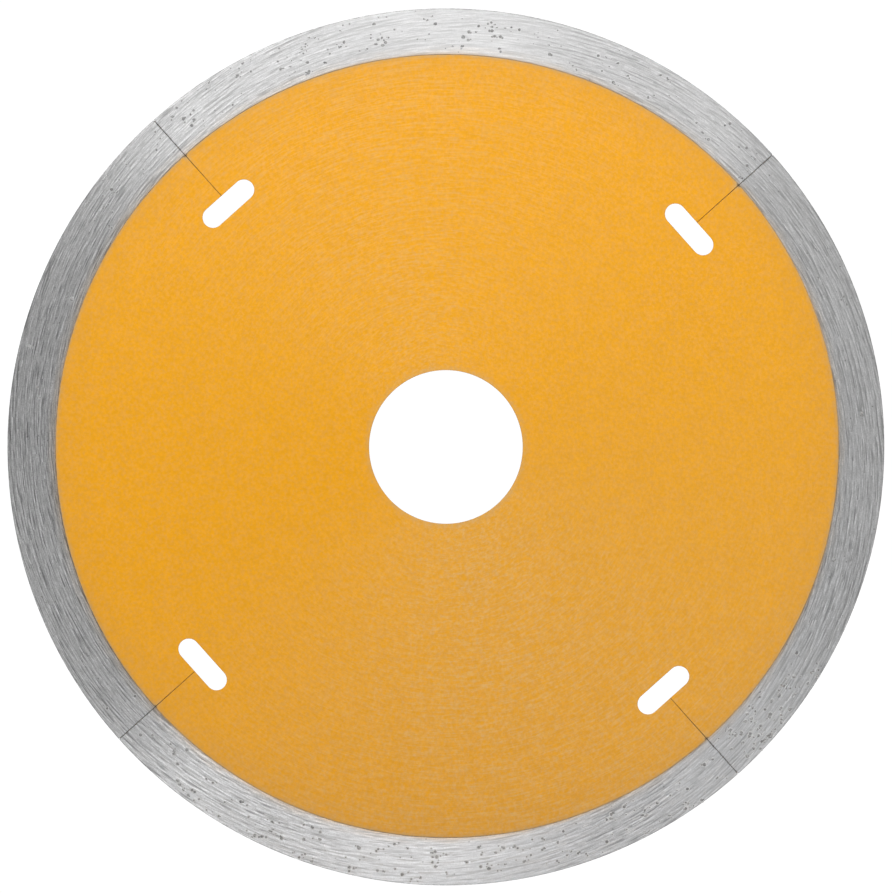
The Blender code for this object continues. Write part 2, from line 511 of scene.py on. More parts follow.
class FaceCoordinates:
    """A point's place on the blade's face: its radius, its angle and which side it is on."""

    def __init__(self, graph: Graph, sizes: BladeSizes) -> None:
        """Add the nodes that read the place; the angle is counted so that it wraps on a slit."""
        self.graph = graph
        self.rim_edge = sizes.rim_edge
        parts = graph.node("ShaderNodeSeparateXYZ")
        graph.feed(parts.inputs[0], graph.node("ShaderNodeTexCoord").outputs["Object"])
        self.x, self.y, self.z = parts.outputs
        squares = graph.plus(graph.maths("POWER", self.x, 2.0), graph.maths("POWER", self.z, 2.0))
        self.radius = graph.maths("SQRT", squares)
        self.across = graph.maths("DIVIDE", self.x, self.radius)
        self.up = graph.maths("DIVIDE", self.z, self.radius)
        self.side = graph.maths("SIGN", self.y)
        sine, cosine = math.sin(sizes.first_slit), math.cos(sizes.first_slit)
        turned_x = graph.scaled(self.x, cosine, graph.times(self.z, sine))
        turned_z = graph.scaled(self.z, cosine, graph.times(self.x, -sine))
        self.angle = graph.maths("ARCTAN2", turned_z, turned_x)
        off_slit = graph.maths("PINGPONG", self.angle, math.pi / sizes.quarters)
        self.from_slit = graph.times(off_slit, self.radius)
        mean, along, up = sizes.foot_drift
        foot = graph.scaled(self.up, up, graph.scaled(self.across, along, sizes.bond_foot + mean))
        self.from_foot = graph.maths("SUBTRACT", self.radius, foot)

    def streak(
        self, run: float, width: float, lay: float = 0.0, seed: float = 0.0, aside: float = 0.0
    ) -> Socket:
        """Return noise coordinates for marks that run along the circumference.

        Args:
            run: The length of a mark, in metres, at the rim.
            width: The width of a mark, in metres.
            lay: Slope of the marks against the circumference; they then spiral in.
            seed: A shift that tells one pattern from another.
            aside: A shift of the same pattern outwards, in widths.

        Returns:
            The coordinates, for a noise of scale 1.
        """
        graph = self.graph
        turn = self.rim_edge / run
        climb = graph.plus(graph.times(self.angle, lay), 1.0) if lay else 1.0
        radius = graph.times(self.radius, climb) if lay else self.radius
        depth = graph.scaled(radius, 1.0 / width, seed - aside)
        shift = graph.scaled(self.side, 17.3, seed)
        return graph.join(graph.scaled(self.across, turn, shift), graph.times(self.up, turn), depth)

    def grain(self, size: float, seed: float = 0.0) -> Socket:
        """Return noise coordinates for an even grain of a size in metres."""
        graph = self.graph
        x = graph.scaled(self.x, 1.0 / size, graph.scaled(self.side, 23.7, seed))
        return graph.join(x, graph.times(self.y, 1.0 / size), graph.times(self.z, 1.0 / size))

    def lobe(self, degrees: float) -> Socket:
        """Return 1 towards an angle, falling smoothly to 0 a quarter turn to either side."""
        along, up = polar(1.0, math.radians(degrees))
        facing = self.graph.scaled(self.across, along, self.graph.times(self.up, up), clamp=True)
        return self.graph.maths("POWER", facing, 2.0)

    def round_the_rim(self, stops: tuple[Point, ...]) -> Socket:
        """Return a value that changes smoothly with the angle.

        Args:
            stops: The value at some angles, as (degrees, value), the first of them at -180 degrees.

        Returns:
            The value at each point's angle.
        """
        graph = self.graph
        node = graph.node("ShaderNodeValToRGB")
        band = node.color_ramp
        band.interpolation = "CARDINAL"
        headroom = 2.0
        for degrees, _ in stops[1:]:
            band.elements.new(degrees / 360 + 0.5)
        for element, (_, value) in zip(band.elements, (*stops, stops[0])):
            element.color = (*[value / headroom] * 3, 1.0)
        turn = graph.maths("DIVIDE", graph.maths("ARCTAN2", self.z, self.x), math.tau)
        graph.feed(node.inputs[0], graph.plus(turn, 0.5))
        return graph.times(node.outputs[0], headroom)

    def spread_direction(self) -> Socket:
        """Return the direction that the marks spread light in: straight out from the spin axis."""
        node = self.graph.node("ShaderNodeVectorTransform", convert_from="OBJECT", convert_to="WORLD")
        self.graph.feed(node.inputs[0], self.graph.join(self.across, 0.0, self.up))
        return node.outputs[0]


@dataclass(frozen=True)
class Finish:
    """A finish of the blade, told by where each point lies on the blade's face."""

    name: str

    def build(self, sizes: BladeSizes) -> bpy.types.Material:
        """Build the material.

        Args:
            sizes: The blade's sizes.

        Returns:
            The finished material.
        """
        graph = Graph(self.name)
        self.lay_on(graph, FaceCoordinates(graph, sizes), sizes)
        return graph.material

    def lay_on(self, graph: Graph, face: FaceCoordinates, sizes: BladeSizes) -> None:
        """Set the shader's inputs, each finish in its own way."""
        raise NotImplementedError


# How light the rim's metal is made round the blade, as (degrees, tone). The tones are set by
# measure, not by any cause in the metal: much of what they carry is shading, fixed to the rim.
RIM_PAINTED_SHADING = (
    (-180, 0.76),
    (-160, 0.82),
    (-143, 0.79),
    (-128, 1.02),
    (-112, 1.01),
    (-97, 1.18),
    (-82, 1.07),
    (-67, 0.81),
    (-38, 0.87),
    (-22, 0.89),
    (0, 0.955),
    (22, 1.02),
    (38, 0.935),
    (67, 0.80),
    (85, 0.97),
    (110, 0.91),
    (128, 0.99),
    (143, 0.83),
    (165, 0.805),
)
GROUND_GREY: Colour = (0.62, 0.62, 0.622)


@dataclass(frozen=True)
class GroundMetal(Finish):
    """The rim's metal: ground flat along its circumference, streaked and faintly stained, with painted
    shade of pits and painted shade and highlight in its tone.
    """

    base: Colour = GROUND_GREY
    painted_cool_below: Colour = (0.610, 0.621, 0.637)
    stain: Colour = (0.60, 0.51, 0.42)
    warmth: float = 0.5
    wall_tone: float = 0.55

    def lay_on(self, graph: Graph, face: FaceCoordinates, sizes: BladeSizes) -> None:
        """Grind the faces bright along the circumference, lay painted shade and highlight round the rim,
        and leave the outer wall dull and coarse.
        """
        fine = graph.noise(face.streak(1.2 * MM, 0.15 * MM, LAY, 3.0), 2.0, 0.6)
        long = graph.noise(face.streak(4.6 * MM, 0.31 * MM, LAY, 11.0), 1.5, 0.5)
        cloud = graph.noise(face.streak(14.0 * MM, 2.2 * MM, 0.0, 5.0), 2.0, 0.5)
        on_wall = graph.ramp(face.radius, sizes.rim_edge - 0.10 * MM, sizes.rim_edge - 0.04 * MM)
        tone = graph.times(
            self._streaks_and_painted_relief(graph, face, fine, long),
            graph.ramp(cloud, 0.3, 0.7, 0.95, 1.05),
            self._painted_pit_shade(graph, face),
            self._darker_slit_lips(graph, face),
            # painted shade and highlight round the rim, fixed to the metal's tone
            face.round_the_rim(RIM_PAINTED_SHADING),
            self._wall(graph, face, on_wall),
        )
        graph.set(
            Base_Color=graph.scale_colour(self._colour(graph, face), tone),
            Metallic=1.0,
            Roughness=graph.scaled(on_wall, 0.25, graph.ramp(fine, 0.2, 0.8, 0.38, 0.44)),
            Anisotropic=0.9,
            Tangent=face.spread_direction(),
            Normal=graph.bump(graph.plus(graph.times(fine, 0.6), long), 0.005 * MM),
        )

    def _colour(self, graph: Graph, face: FaceCoordinates) -> Socket:
        """Return the metal's colour: painted cooler low down against the warm light reflected up from
        below, and stained warm in patches along its foot.
        """
        # cooler below: a painted offset of warm reflected light
        plain = graph.mix(face.lobe(275), self.base, self.painted_cool_below)
        patchy = graph.noise(face.streak(5.0 * MM, 0.6 * MM, 0.0, 29.0), 3.0, 0.6)
        warm = graph.scaled(face.lobe(180), 0.2, graph.ramp(patchy, 0.38, 0.66, 0.1, self.warmth))
        near_foot = graph.times(graph.ramp(face.from_foot, 0.0, 1.6 * MM, 1.0, 0.0), warm)
        at_foot = graph.ramp(face.from_foot, 0.0, 0.4 * MM, 0.7, 0.0)
        return graph.mix(graph.plus(near_foot, at_foot, clamp=True), plain, self.stain)

    def _streaks_and_painted_relief(self, graph: Graph, face: FaceCoordinates, fine: Socket, long: Socket) -> Socket:
        """Return the tone of the grinding streaks, the long ones with a painted light flank and a painted
        dark flank, as relief lit from one side.
        """
        beside = graph.noise(face.streak(4.6 * MM, 0.31 * MM, LAY, 11.0, 0.45), 1.5, 0.5)
        speck = graph.noise(face.grain(0.2 * MM, 19.0), 1.0, 0.5)
        streaks = graph.times(
            # long less beside: painted light and shade on the streaks' flanks
            graph.scaled(graph.maths("SUBTRACT", long, beside), 1.4, 1.0),
            graph.ramp(fine, 0.25, 0.75, 0.77, 1.23),
            graph.ramp(long, 0.33, 0.45, 0.66, 1.0),
            graph.ramp(speck, 0.2, 0.8, 0.84, 1.16),
        )
        return graph.scaled(graph.maths("SUBTRACT", streaks, 1.0), self._contrast(graph, face), 1.0)

    def _contrast(self, graph: Graph, face: FaceCoordinates) -> Socket:
        """Return how strongly the streaks show: most at the sides, a little more below than above."""
        aside = graph.maths("ABSOLUTE", face.across)
        sideways = graph.ramp(aside, 0.75, 0.95, 0.0, 0.16)
        share = graph.plus(graph.ramp(aside, 0.15, 0.42, 0.38, 0.70), sideways)
        smoother = graph.ramp(face.lobe(318), 0.88, 1.0, 0.0, 0.22)
        tilt = graph.scaled(face.up, -0.15, graph.scaled(face.across, -0.14, 1.0))
        return graph.times(graph.maths("SUBTRACT", share, smoother), tilt)

    def _wall(self, graph: Graph, face: FaceCoordinates, on_wall: Socket) -> Socket:
        """Return the tone of the outer wall: dull and coarse there, and 1 on the faces."""
        coarse = graph.ramp(graph.noise(face.grain(0.5 * MM, 71.0), 2.0, 0.6), 0.32, 0.68, 0.45, 1.55)
        return graph.scaled(on_wall, graph.scaled(coarse, self.wall_tone, -1.0), 1.0)

    def _darker_slit_lips(self, graph: Graph, face: FaceCoordinates) -> Socket:
        """Return a factor that darkens the lips of the slits in uneven dabs."""
        dabs = graph.ramp(graph.noise(face.grain(0.55 * MM, 61.0), 1.0, 0.5), 0.40, 0.62, 0.2, 1.0)
        by_slit = graph.ramp(face.from_slit, 0.05 * MM, 0.22 * MM, 1.0, 0.0)
        return graph.scaled(graph.times(by_slit, dabs), -0.42, 1.0)

    def _painted_pit_shade(self, graph: Graph, face: FaceCoordinates) -> Socket:
        """Return a factor that darkens small round spots as painted shade of pits, more of them where the
        rim wore open.
        """
        cells = graph.node("ShaderNodeTexVoronoi", feature="F1")
        graph.feed(cells.inputs["Vector"], face.grain(1.05 * MM, 7.0))
        cells.inputs["Scale"].default_value = 1.0
        chances = graph.node("ShaderNodeSeparateColor")
        graph.feed(chances.inputs[0], cells.outputs["Color"])
        cluster = graph.noise(face.streak(6.0 * MM, 2.0 * MM, 0.0, 41.0), 1.0, 0.5)
        present = graph.maths("LESS_THAN", chances.outputs[0], graph.ramp(cluster, 0.42, 0.68, 0.05, 0.6))
        reach = graph.scaled(chances.outputs[1], 0.13, 0.11)
        away = graph.maths("DIVIDE", cells.outputs["Distance"], reach)
        dot = graph.maths("SUBTRACT", 1.0, away, clamp=True)
        return graph.scaled(graph.times(graph.ramp(dot, 0.0, 0.5), present), -0.36, 1.0)


@dataclass(frozen=True)
class DraggedMetal(Finish):
    """Rim metal that a grain tore or raised: darker than the ground face beside it, or brighter as a
    painted highlight.
    """

    sideways: float
    upright: float
    base: Colour = GROUND_GREY

    def lay_on(self, graph: Graph, face: FaceCoordinates, sizes: BladeSizes) -> None:
        """Make the metal darker or brighter, each mark a little differently, and with painted shading that
        sets its tone by its angle round the rim.
        """
        fine = graph.noise(face.streak(0.9 * MM, 0.12 * MM, LAY, 3.0), 2.0, 0.6)
        each = graph.noise(face.grain(2.5 * MM, 8.0), 2.0, 0.6)
        aside = graph.maths("ABSOLUTE", face.across)
        # painted shading: the marks' tone goes from upright to sideways with their angle round the rim
        strength = graph.maths("SUBTRACT", graph.ramp(aside, 0.5, 0.95, self.upright, self.sideways), 1.0)
        tone = graph.scaled(strength, graph.ramp(each, 0.3, 0.7, 0.35, 1.3), 1.0)
        tone = graph.times(tone, graph.ramp(fine, 0.25, 0.75, 0.9, 1.1))
        graph.set(
            Base_Color=graph.scale_colour(self.base, tone),
            Metallic=1.0,
            Roughness=graph.ramp(fine, 0.2, 0.8, 0.38, 0.46),
            Anisotropic=0.9,
            Tangent=face.spread_direction(),
            Normal=graph.bump(fine, 0.003 * MM),
        )


@dataclass(frozen=True)
class OrangePaint(Finish):
    """Thin satin paint: a fine mottle, concentric scratches and greyer, thinner edges, with painted sheen
    and painted shade in its colour.
    """

    name: str = "orange_paint_coat"
    deep: Colour = (0.690, 0.304, 0.002)
    peach: Colour = (0.664, 0.306, 0.031)
    painted_sheen: Colour = (0.42, 0.66, 0.58)
    thin: Colour = (0.42, 0.30, 0.15)
    blot_dust_and_shade: Colour = (0.07, 0.06, 0.05)

    def lay_on(self, graph: Graph, face: FaceCoordinates, sizes: BladeSizes) -> None:
        """Spray the coat, scratch it, and wear it thin along its edges."""
        mottle = graph.noise(face.grain(0.46 * MM, 2.0), 1.5, 0.6)
        scratch = graph.noise(face.streak(3.4 * MM, 0.26 * MM, 0.0, 13.0), 1.5, 0.55)
        colour = graph.mix(graph.ramp(mottle, 0.34, 0.76, 0.0, 1.05), self.deep, self.peach)
        colour = graph.scale_colour(colour, self._tone(graph, face))
        # painted sheen: a pale veil of reflection mixed into the orange
        colour = graph.mix(self._painted_sheen_share(graph, face, scratch), colour, self.painted_sheen)
        colour = graph.mix(self._wear(graph, face, sizes, mottle), colour, self.thin)
        # dark blot at each slit's mouth: dust, with painted shade of the corner
        colour = graph.mix(self._dust_and_shade_blot(graph, face), colour, self.blot_dust_and_shade)
        graph.set(
            Base_Color=colour,
            Roughness=graph.ramp(mottle, 0.3, 0.7, 0.37, 0.43),
            Anisotropic=0.75,
            Specular_IOR_Level=0.24,
            Tangent=face.spread_direction(),
            Normal=graph.bump(scratch, 0.008 * MM, graph.bump(mottle, 0.008 * MM)),
        )

    def _tone(self, graph: Graph, face: FaceCoordinates) -> Socket:
        """Return how light the coat is: uneven in patches, painted lighter upwards and towards the lower
        left as painted shading, and darker where it thins to the rim.
        """
        shade = graph.noise(face.grain(0.42 * MM, 31.0), 1.5, 0.6)
        broad = graph.noise(face.grain(3.5 * MM, 9.0), 2.0, 0.5)
        return graph.times(
            graph.ramp(shade, 0.2, 0.8, 0.95, 1.05),
            graph.ramp(broad, 0.3, 0.7, 0.99, 1.01),
            # painted shading: lighter upwards and towards 230 degrees
            graph.scaled(face.lobe(230), 0.024, graph.scaled(face.up, 0.028, 0.946)),
            graph.ramp(face.from_foot, -7.0 * MM, 0.0, 1.0, 0.965),
            graph.ramp(face.from_foot, -0.8 * MM, 0.0, 1.0, 0.92),
        )

    def _painted_sheen_share(self, graph: Graph, face: FaceCoordinates, scratch: Socket) -> Socket:
        """Return how much painted sheen lies on the paint: the scratches as painted glints above and below,
        and a faint painted haze of reflection.
        """
        above, below = graph.maths("POWER", face.lobe(104), 2.0), face.lobe(285)
        glint_share = graph.scaled(below, 0.075, graph.times(above, 0.070))
        scratch_glints = graph.times(graph.ramp(scratch, 0.40, 0.74), glint_share)
        # a grainy part of the painted sheen below
        painted_shade_and_sheen = graph.ramp(graph.noise(face.grain(0.44 * MM, 51.0), 1.5, 0.6), 0.40, 0.72, 0.015, 0.085)
        painted_haze = graph.scaled(face.lobe(5), 0.014, graph.times(face.lobe(134), 0.005))
        return graph.plus(scratch_glints, graph.scaled(below, painted_shade_and_sheen, painted_haze))

    def _wear(self, graph: Graph, face: FaceCoordinates, sizes: BladeSizes, mottle: Socket) -> Socket:
        """Return how thin and grey the paint is: along the rim, round the bore and at the slits' mouths."""
        inside = graph.maths("MAXIMUM", graph.times(face.from_foot, -1.0), 0.0)
        thinned = graph.times(graph.maths("EXPONENT", graph.maths("DIVIDE", inside, -0.23 * MM)), 0.92)
        at_bore = graph.ramp(face.radius, sizes.bore, sizes.bore + 1.2 * MM, 0.28, 0.0)
        by_slit = graph.ramp(face.from_slit, 0.0, 0.8 * MM, 0.45, 0.0)
        mouth = graph.times(by_slit, graph.ramp(inside, 0.0, 2.4 * MM, 1.0, 0.0))
        broadly = graph.ramp(inside, 0.0, 7.0 * MM, 0.055, 0.0)
        edges = graph.plus(thinned, broadly, at_bore, mouth, clamp=True)
        return graph.times(edges, graph.ramp(mottle, 0.3, 0.7, 0.65, 1.2), clamp=True)

    def _dust_and_shade_blot(self, graph: Graph, face: FaceCoordinates) -> Socket:
        """Return the dark blot where a slit crosses the film's edge: dust there, and painted shade of that
        corner.
        """
        out, along = (graph.maths("POWER", way, 2.0) for way in (face.from_foot, face.from_slit))
        away = graph.maths("SQRT", graph.plus(out, along))
        return graph.ramp(away, 0.10 * MM, 0.50 * MM, 0.85, 0.0)


@dataclass(frozen=True)
class CoreSteel(Finish):
    """Cold rolled steel, seen only on the cut walls and in the gap beside the paint."""

    name: str = "rolled_core_steel"
    base: Colour = (0.22, 0.20, 0.18)
    spray: Colour = (0.30, 0.19, 0.09)
    creep: Colour = (0.52, 0.42, 0.30)

    def lay_on(self, graph: Graph, face: FaceCoordinates, sizes: BladeSizes) -> None:
        """Roll the steel, with stray spray on its walls and paint that crept past the film's edge."""
        mill = graph.noise(face.grain(0.25 * MM, 1.0), 3.0, 0.6)
        stray = graph.noise(face.grain(0.9 * MM, 6.0), 3.0, 0.6)
        colour = graph.mix(graph.ramp(stray, 0.4, 0.6, 0.15, 0.6), self.base, self.spray)
        past_film = graph.ramp(face.from_foot, -0.5 * MM, -0.3 * MM)
        crept = graph.times(past_film, graph.ramp(stray, 0.35, 0.6, 0.35, 0.95))
        colour = graph.mix(crept, colour, self.creep)
        graph.set(
            Base_Color=graph.scale_colour(colour, graph.ramp(mill, 0.3, 0.7, 0.85, 1.15)),
            Metallic=0.6,
            Roughness=graph.ramp(mill, 0.2, 0.8, 0.4, 0.6),
            Normal=graph.bump(mill, 0.01 * MM),
        )


@dataclass(frozen=True)
class DarkGrit(Finish):
    """Diamond grains: dark and stony, each a little lighter or darker than the next."""

    name: str = "diamond_grit"
    dark: Colour = (0.14, 0.14, 0.138)
    light: Colour = (0.33, 0.33, 0.322)

    def lay_on(self, graph: Graph, face: FaceCoordinates, sizes: BladeSizes) -> None:
        """Speckle the grains between their dark and their light."""
        speckle = graph.noise(face.grain(0.4 * MM, 3.0), 3.0, 0.6)
        graph.set(
            Base_Color=graph.mix(graph.ramp(speckle, 0.35, 0.65), self.dark, self.light),
            Roughness=graph.ramp(speckle, 0.3, 0.7, 0.5, 0.7),
            Normal=graph.bump(speckle, 0.01 * MM),
        )


@dataclass(frozen=True)
class SlitShadeFinish(Finish):
    """What sits in the slits: painted shade, orange-brown near the slots and near black towards the rim."""

    name: str = "slit_shade_fill"
    painted: Colour = (0.36, 0.17, 0.035)
    painted_shade_and_sheen: Colour = (0.045, 0.040, 0.035)

    def lay_on(self, graph: Graph, face: FaceCoordinates, sizes: BladeSizes) -> None:
        """Fade the painted shade from orange-brown to near black along the slit."""
        speckle = graph.noise(face.grain(0.5 * MM, 3.0), 3.0, 0.6)
        start = sizes.slot_centre + sizes.slot_width / 2
        outwards = graph.ramp(face.radius, start, sizes.paint_edge, 0.1, 0.9)
        painted_shade_and_sheen = graph.plus(outwards, graph.ramp(speckle, 0.3, 0.7, -0.25, 0.25), clamp=True)
        graph.set(
            Base_Color=graph.mix(painted_shade_and_sheen, self.painted, self.painted_shade_and_sheen),
            Roughness=graph.ramp(speckle, 0.3, 0.7, 0.75, 0.95),
            Normal=graph.bump(speckle, 0.01 * MM),
        )


# ----------------------------------------------------------------------------------------- pieces


@dataclass
class Core:
    """The steel disc that carries everything, with its bore, slots and slits."""

    sizes: BladeSizes
    edge_break: float = 0.03 * MM

    def build(self) -> None:
        """Build and dress the core."""
        sizes, half = self.sizes, self.sizes.core_half
        sheet = KeyholeSheet(sizes, lambda angle: sizes.core_edge, sizes.bore, 0.0, sizes.slit_width)
        core = sheet_from_outlines("core_plate", sheet.outlines(), -half, half, self.edge_break)
        dress(core, CoreSteel().build(sizes), "core")


@dataclass
class Paint:
    """The paint film on each face, with its slightly uneven outer edge."""

    sizes: BladeSizes
    hole_margin: float = 0.02 * MM
    slit_width: float = 0.09 * MM
    wander: float = 0.05 * MM
    widest_gap: float = math.radians(225)
    edge_break: float = 0.02 * MM

    def edge(self, side: Side) -> Callable[[float], float]:
        """Return the film's outer radius as a function of the angle."""

        def radius(angle: float) -> float:
            """Return the film's outer radius at an angle."""
            broad = noise.noise(Vector((*polar(14.0, angle), 5.0 * side.value)))
            fine = noise.noise(Vector((*polar(110.0, angle), 3.0 * side.value)))
            gap = 1.0 + 0.8 * math.cos(angle - self.widest_gap) + (0.6 * broad + 0.6 * fine)
            return self.sizes.paint_edge + self.sizes.drift(angle) - self.wander * max(gap, 0.0)

        return radius

    def build(self) -> None:
        """Build and dress both films."""
        sizes = self.sizes
        coat = OrangePaint().build(sizes)
        bore = sizes.bore + self.hole_margin
        for side, node in ((Side.FRONT, "paint_front"), (Side.REAR, "paint_rear")):
            edge = self.edge(side)
            sheet = KeyholeSheet(sizes, edge, bore, self.hole_margin, self.slit_width, arc_steps=480)
            low, high = sorted((side.value * sizes.paint_inner, side.value * sizes.paint_outer))
            film = sheet_from_outlines(node + "_film", sheet.outlines(), low, high, self.edge_break)
            dress(film, coat, node)


@dataclass
class Rim:
    """The ground rim: four diamond quarters, each on its bond strip."""

    sizes: BladeSizes
    edge_round: float = 0.12 * MM
    foot_round: float = 0.07 * MM
    face_steps: int = 30
    wall_steps: int = 8
    lap: float = 0.02 * MM

    def rim_section(self) -> list[Point]:
        """Return the section of a diamond quarter, from its bond strip outwards and back."""
        sizes = self.sizes
        half, corner, square = sizes.rim_half, self.edge_round, math.pi / 2
        centre = sizes.rim_edge - corner
        flat = spread(sizes.bond_edge, centre, self.face_steps)
        wall = spread(-half + corner, half - corner, self.wall_steps)
        section = [(radius, -half) for radius in flat]
        section += rounded_corner((centre, -half + corner), corner, -square, square, 5)
        section += [(sizes.rim_edge, depth) for depth in wall]
        section += rounded_corner((centre, half - corner), corner, 0.0, square, 5)
        return section + [(radius, half) for radius in reversed(flat)]

    def bond_section(self) -> list[Point]:
        """Return the section of a bond strip: a fork whose two lips lap over the core."""
        sizes = self.sizes
        half, corner, square = sizes.rim_half, self.foot_round, math.pi / 2
        foot, centre = sizes.bond_foot, sizes.bond_foot + corner
        flat = spread(centre, sizes.bond_edge, self.face_steps // 3)
        inside, lip = sizes.core_half + self.lap, sizes.core_edge + self.lap
        section = [(foot, -inside), (foot, -half + corner)]
        section += rounded_corner((centre, -half + corner), corner, math.pi, square, 4)
        section += [(radius, -half) for radius in flat]
        section += [(radius, half) for radius in reversed(flat)]
        section += rounded_corner((centre, half - corner), corner, square, square, 4)
        return section + [(foot, half - corner), (foot, inside), (lip, inside), (lip, -inside)]

    def build(self) -> None:
        """Build and dress the quarters and their bond strips."""
        sizes = self.sizes
        ground = GroundMetal("ground_rim").build(sizes)
        bonded = GroundMetal("ground_bond").build(sizes)
        for number in range(1, sizes.quarters + 1):
            relief = Relief(0.004 * MM, 0.24 * MM, 2.0 * MM, LAY, 13.0 * number)
            band = Band(sizes, number, relief)
            quarter = band.sweep(f"rim_quarter_{number}_ground", self.rim_section())
            dress(quarter, ground, f"rim_quarter_{number}")
            strip = band.sweep(f"bond_strip_{number}_ground", self.bond_section())
            dress(strip, bonded, f"bond_strip_{number}")


@dataclass(frozen=True)
class GrainZone:
    """A stretch of the rim in degrees, and how many grains and dragged marks it shows."""

    start: float
    end: float
    grains: int
    marks: int


FRONT_ZONES = (
    GrainZone(42, 50, 14, 12),
    GrainZone(50, 78, 34, 40),
    GrainZone(78, 96, 24, 14),
    GrainZone(81, 84.5, 12, 0),
    GrainZone(96, 108, 32, 14),
    GrainZone(108, 131, 56, 56),
    GrainZone(132, 146, 20, 24),
    GrainZone(146, 216, 16, 130),
    GrainZone(216, 221, 4, 10),
    GrainZone(223, 246, 44, 50),
    GrainZone(246, 264, 40, 30),
    GrainZone(264, 280, 46, 24),
    GrainZone(280, 311, 72, 64),
    GrainZone(313, 321, 60, 8),
    GrainZone(321, 330, 34, 12),
    GrainZone(330, 401, 14, 112),
)


@dataclass(frozen=True)
class Spot:
    """A place on one of the rim's faces, and the angles from it to the slits on either side."""

    radius: float
    angle: float
    side: Side
    quarter: int
    behind: float
    ahead: float

    @property
    def clear(self) -> float:
        """Return the distance to the nearer slit."""
        return min(self.behind, self.ahead) * self.radius


@dataclass
class Grit:
    """Diamond grains that stand out of the rim, with the marks that each drags behind it."""

    sizes: BladeSizes
    grain_sizes: Point = (0.13 * MM, 0.31 * MM)
    small_bias: float = 1.7
    sunk: float = 0.02 * MM
    buried: float = 0.03 * MM
    margin: float = 0.35 * MM
    cluster: float = 0.9 * MM
    clustered_share: float = 0.45
    forward_share: float = 0.75
    crumbed_share: float = 0.55
    tailless_share: float = 0.4
    burred_share: float = 0.55
    rear_turn: float = math.radians(2.0)
    seed: int = 11

    def build(self) -> None:
        """Build the grains, tails and burrs of each quarter, on both faces."""
        sizes = self.sizes
        draw = random.Random(self.seed)
        finishes = {
            "diamond_grains": DarkGrit().build(sizes),
            "grain_beds": DraggedMetal("bedding_metal", 0.88, 0.92).build(sizes),
            "comet_tails": DraggedMetal("dragged_metal", 0.66, 0.86).build(sizes),
            # burrs: raised slivers whose brightness is a painted highlight
            "burrs_painted_highlight": DraggedMetal("burr_painted_highlight", 1.30, 1.05).build(sizes),
        }
        quarters = range(1, sizes.quarters + 1)
        solids: Solids = {kind: {number: [] for number in quarters} for kind in finishes}
        for side in Side:
            for zone in FRONT_ZONES:
                self._fill(zone, side, draw, solids)
        for kind, finish in finishes.items():
            for number in quarters:
                self._join(f"{kind}_{number}", solids[kind][number], finish)

    def _fill(self, zone: GrainZone, side: Side, draw: random.Random, solids: Solids) -> None:
        """Scatter one zone's grains and marks on a side, some of the grains in clusters."""
        angle, radius = math.radians(zone.start), self.sizes.rim_edge - self.margin
        low = self.sizes.bond_edge - 0.8 * MM
        for i in range(zone.grains + zone.marks):
            is_grain = i < zone.grains
            high = self.sizes.rim_edge - (self.margin if is_grain else 2 * self.margin)
            if is_grain and i and draw.random() < self.clustered_share:
                angle += draw.gauss(0.0, self.cluster) / radius
                radius += draw.gauss(0.0, self.cluster * 0.6)
                radius = min(max(radius, low), high)
            else:
                angle = math.radians(draw.uniform(zone.start, zone.end))
                radius = draw.uniform(low, high)
            spot = self._spot(radius, angle, side)
            if spot.clear < self.margin:
                continue
            heading = 1.0 if draw.random() < self.forward_share else -1.0
            smallest, largest = self.grain_sizes
            size = smallest + (largest - smallest) * draw.random() ** self.small_bias
            length, width = draw.uniform(0.5, 1.8) * MM, size * 1.4
            if is_grain:
                self._set_grain(spot, size, draw, solids)
                if draw.random() < self.tailless_share:
                    continue
            else:
                length = draw.uniform(0.9, 3.4) * MM
                width = draw.uniform(0.14, 0.30) * MM
            self._drag(spot, heading, length, width, draw, solids)

    def _spot(self, radius: float, angle: float, side: Side) -> Spot:
        """Return a place on a face, the rear's pattern turned a little against the front's."""
        angle += self.rear_turn if side is Side.REAR else 0.0
        quarter = math.tau / self.sizes.quarters
        turned = (angle - self.sizes.first_slit) % math.tau
        behind = turned % quarter
        return Spot(radius, angle, side, int(turned // quarter) + 1, behind, quarter - behind)

    def _set_grain(self, spot: Spot, size: float, draw: random.Random, solids: Solids) -> None:
        """Set a grain in its bed, often with a crumb beside it."""
        radius, angle, side = spot.radius, spot.angle, spot.side
        grains = solids["diamond_grains"][spot.quarter]
        grains.append(self._grain(radius, angle, side, size, draw))
        if spot.clear > 2 * self.margin and draw.random() < self.crumbed_share:
            beside = angle + draw.choice((-1.0, 1.0)) * draw.uniform(0.7, 1.2) * size / radius
            out = radius + draw.uniform(-0.7, 0.5) * size
            grains.append(self._grain(out, beside, side, size * draw.uniform(0.5, 0.8), draw))
        solids["grain_beds"][spot.quarter].append(self._bed(radius, angle, side, size * 1.5))

    def _drag(
        self, spot: Spot, heading: float, length: float, width: float, draw: random.Random, solids: Solids
    ) -> None:
        """Drag a tail from a spot, often with a burr beside it that carries a painted highlight, and stop
        short of the slit.
        """
        room = (spot.behind if heading < 0 else spot.ahead) * spot.radius
        length = min(length, room - 0.2 * MM)
        tail = self._tail(spot.radius, spot, heading, length, width)
        solids["comet_tails"][spot.quarter].append(tail)
        if draw.random() < self.burred_share:
            beside = spot.radius + 0.75 * width
            burr = self._tail(beside, spot, heading, length * draw.uniform(0.3, 0.9), width * 0.6)
            solids["burrs_painted_highlight"][spot.quarter].append(burr)

    def _on_face(self, x: float, z: float, side: Side, lift: float) -> Vector:
        """Return the point over a place on a face, lifted out of it."""
        return Vector((x, side.value * (self.sizes.rim_half + lift), z))

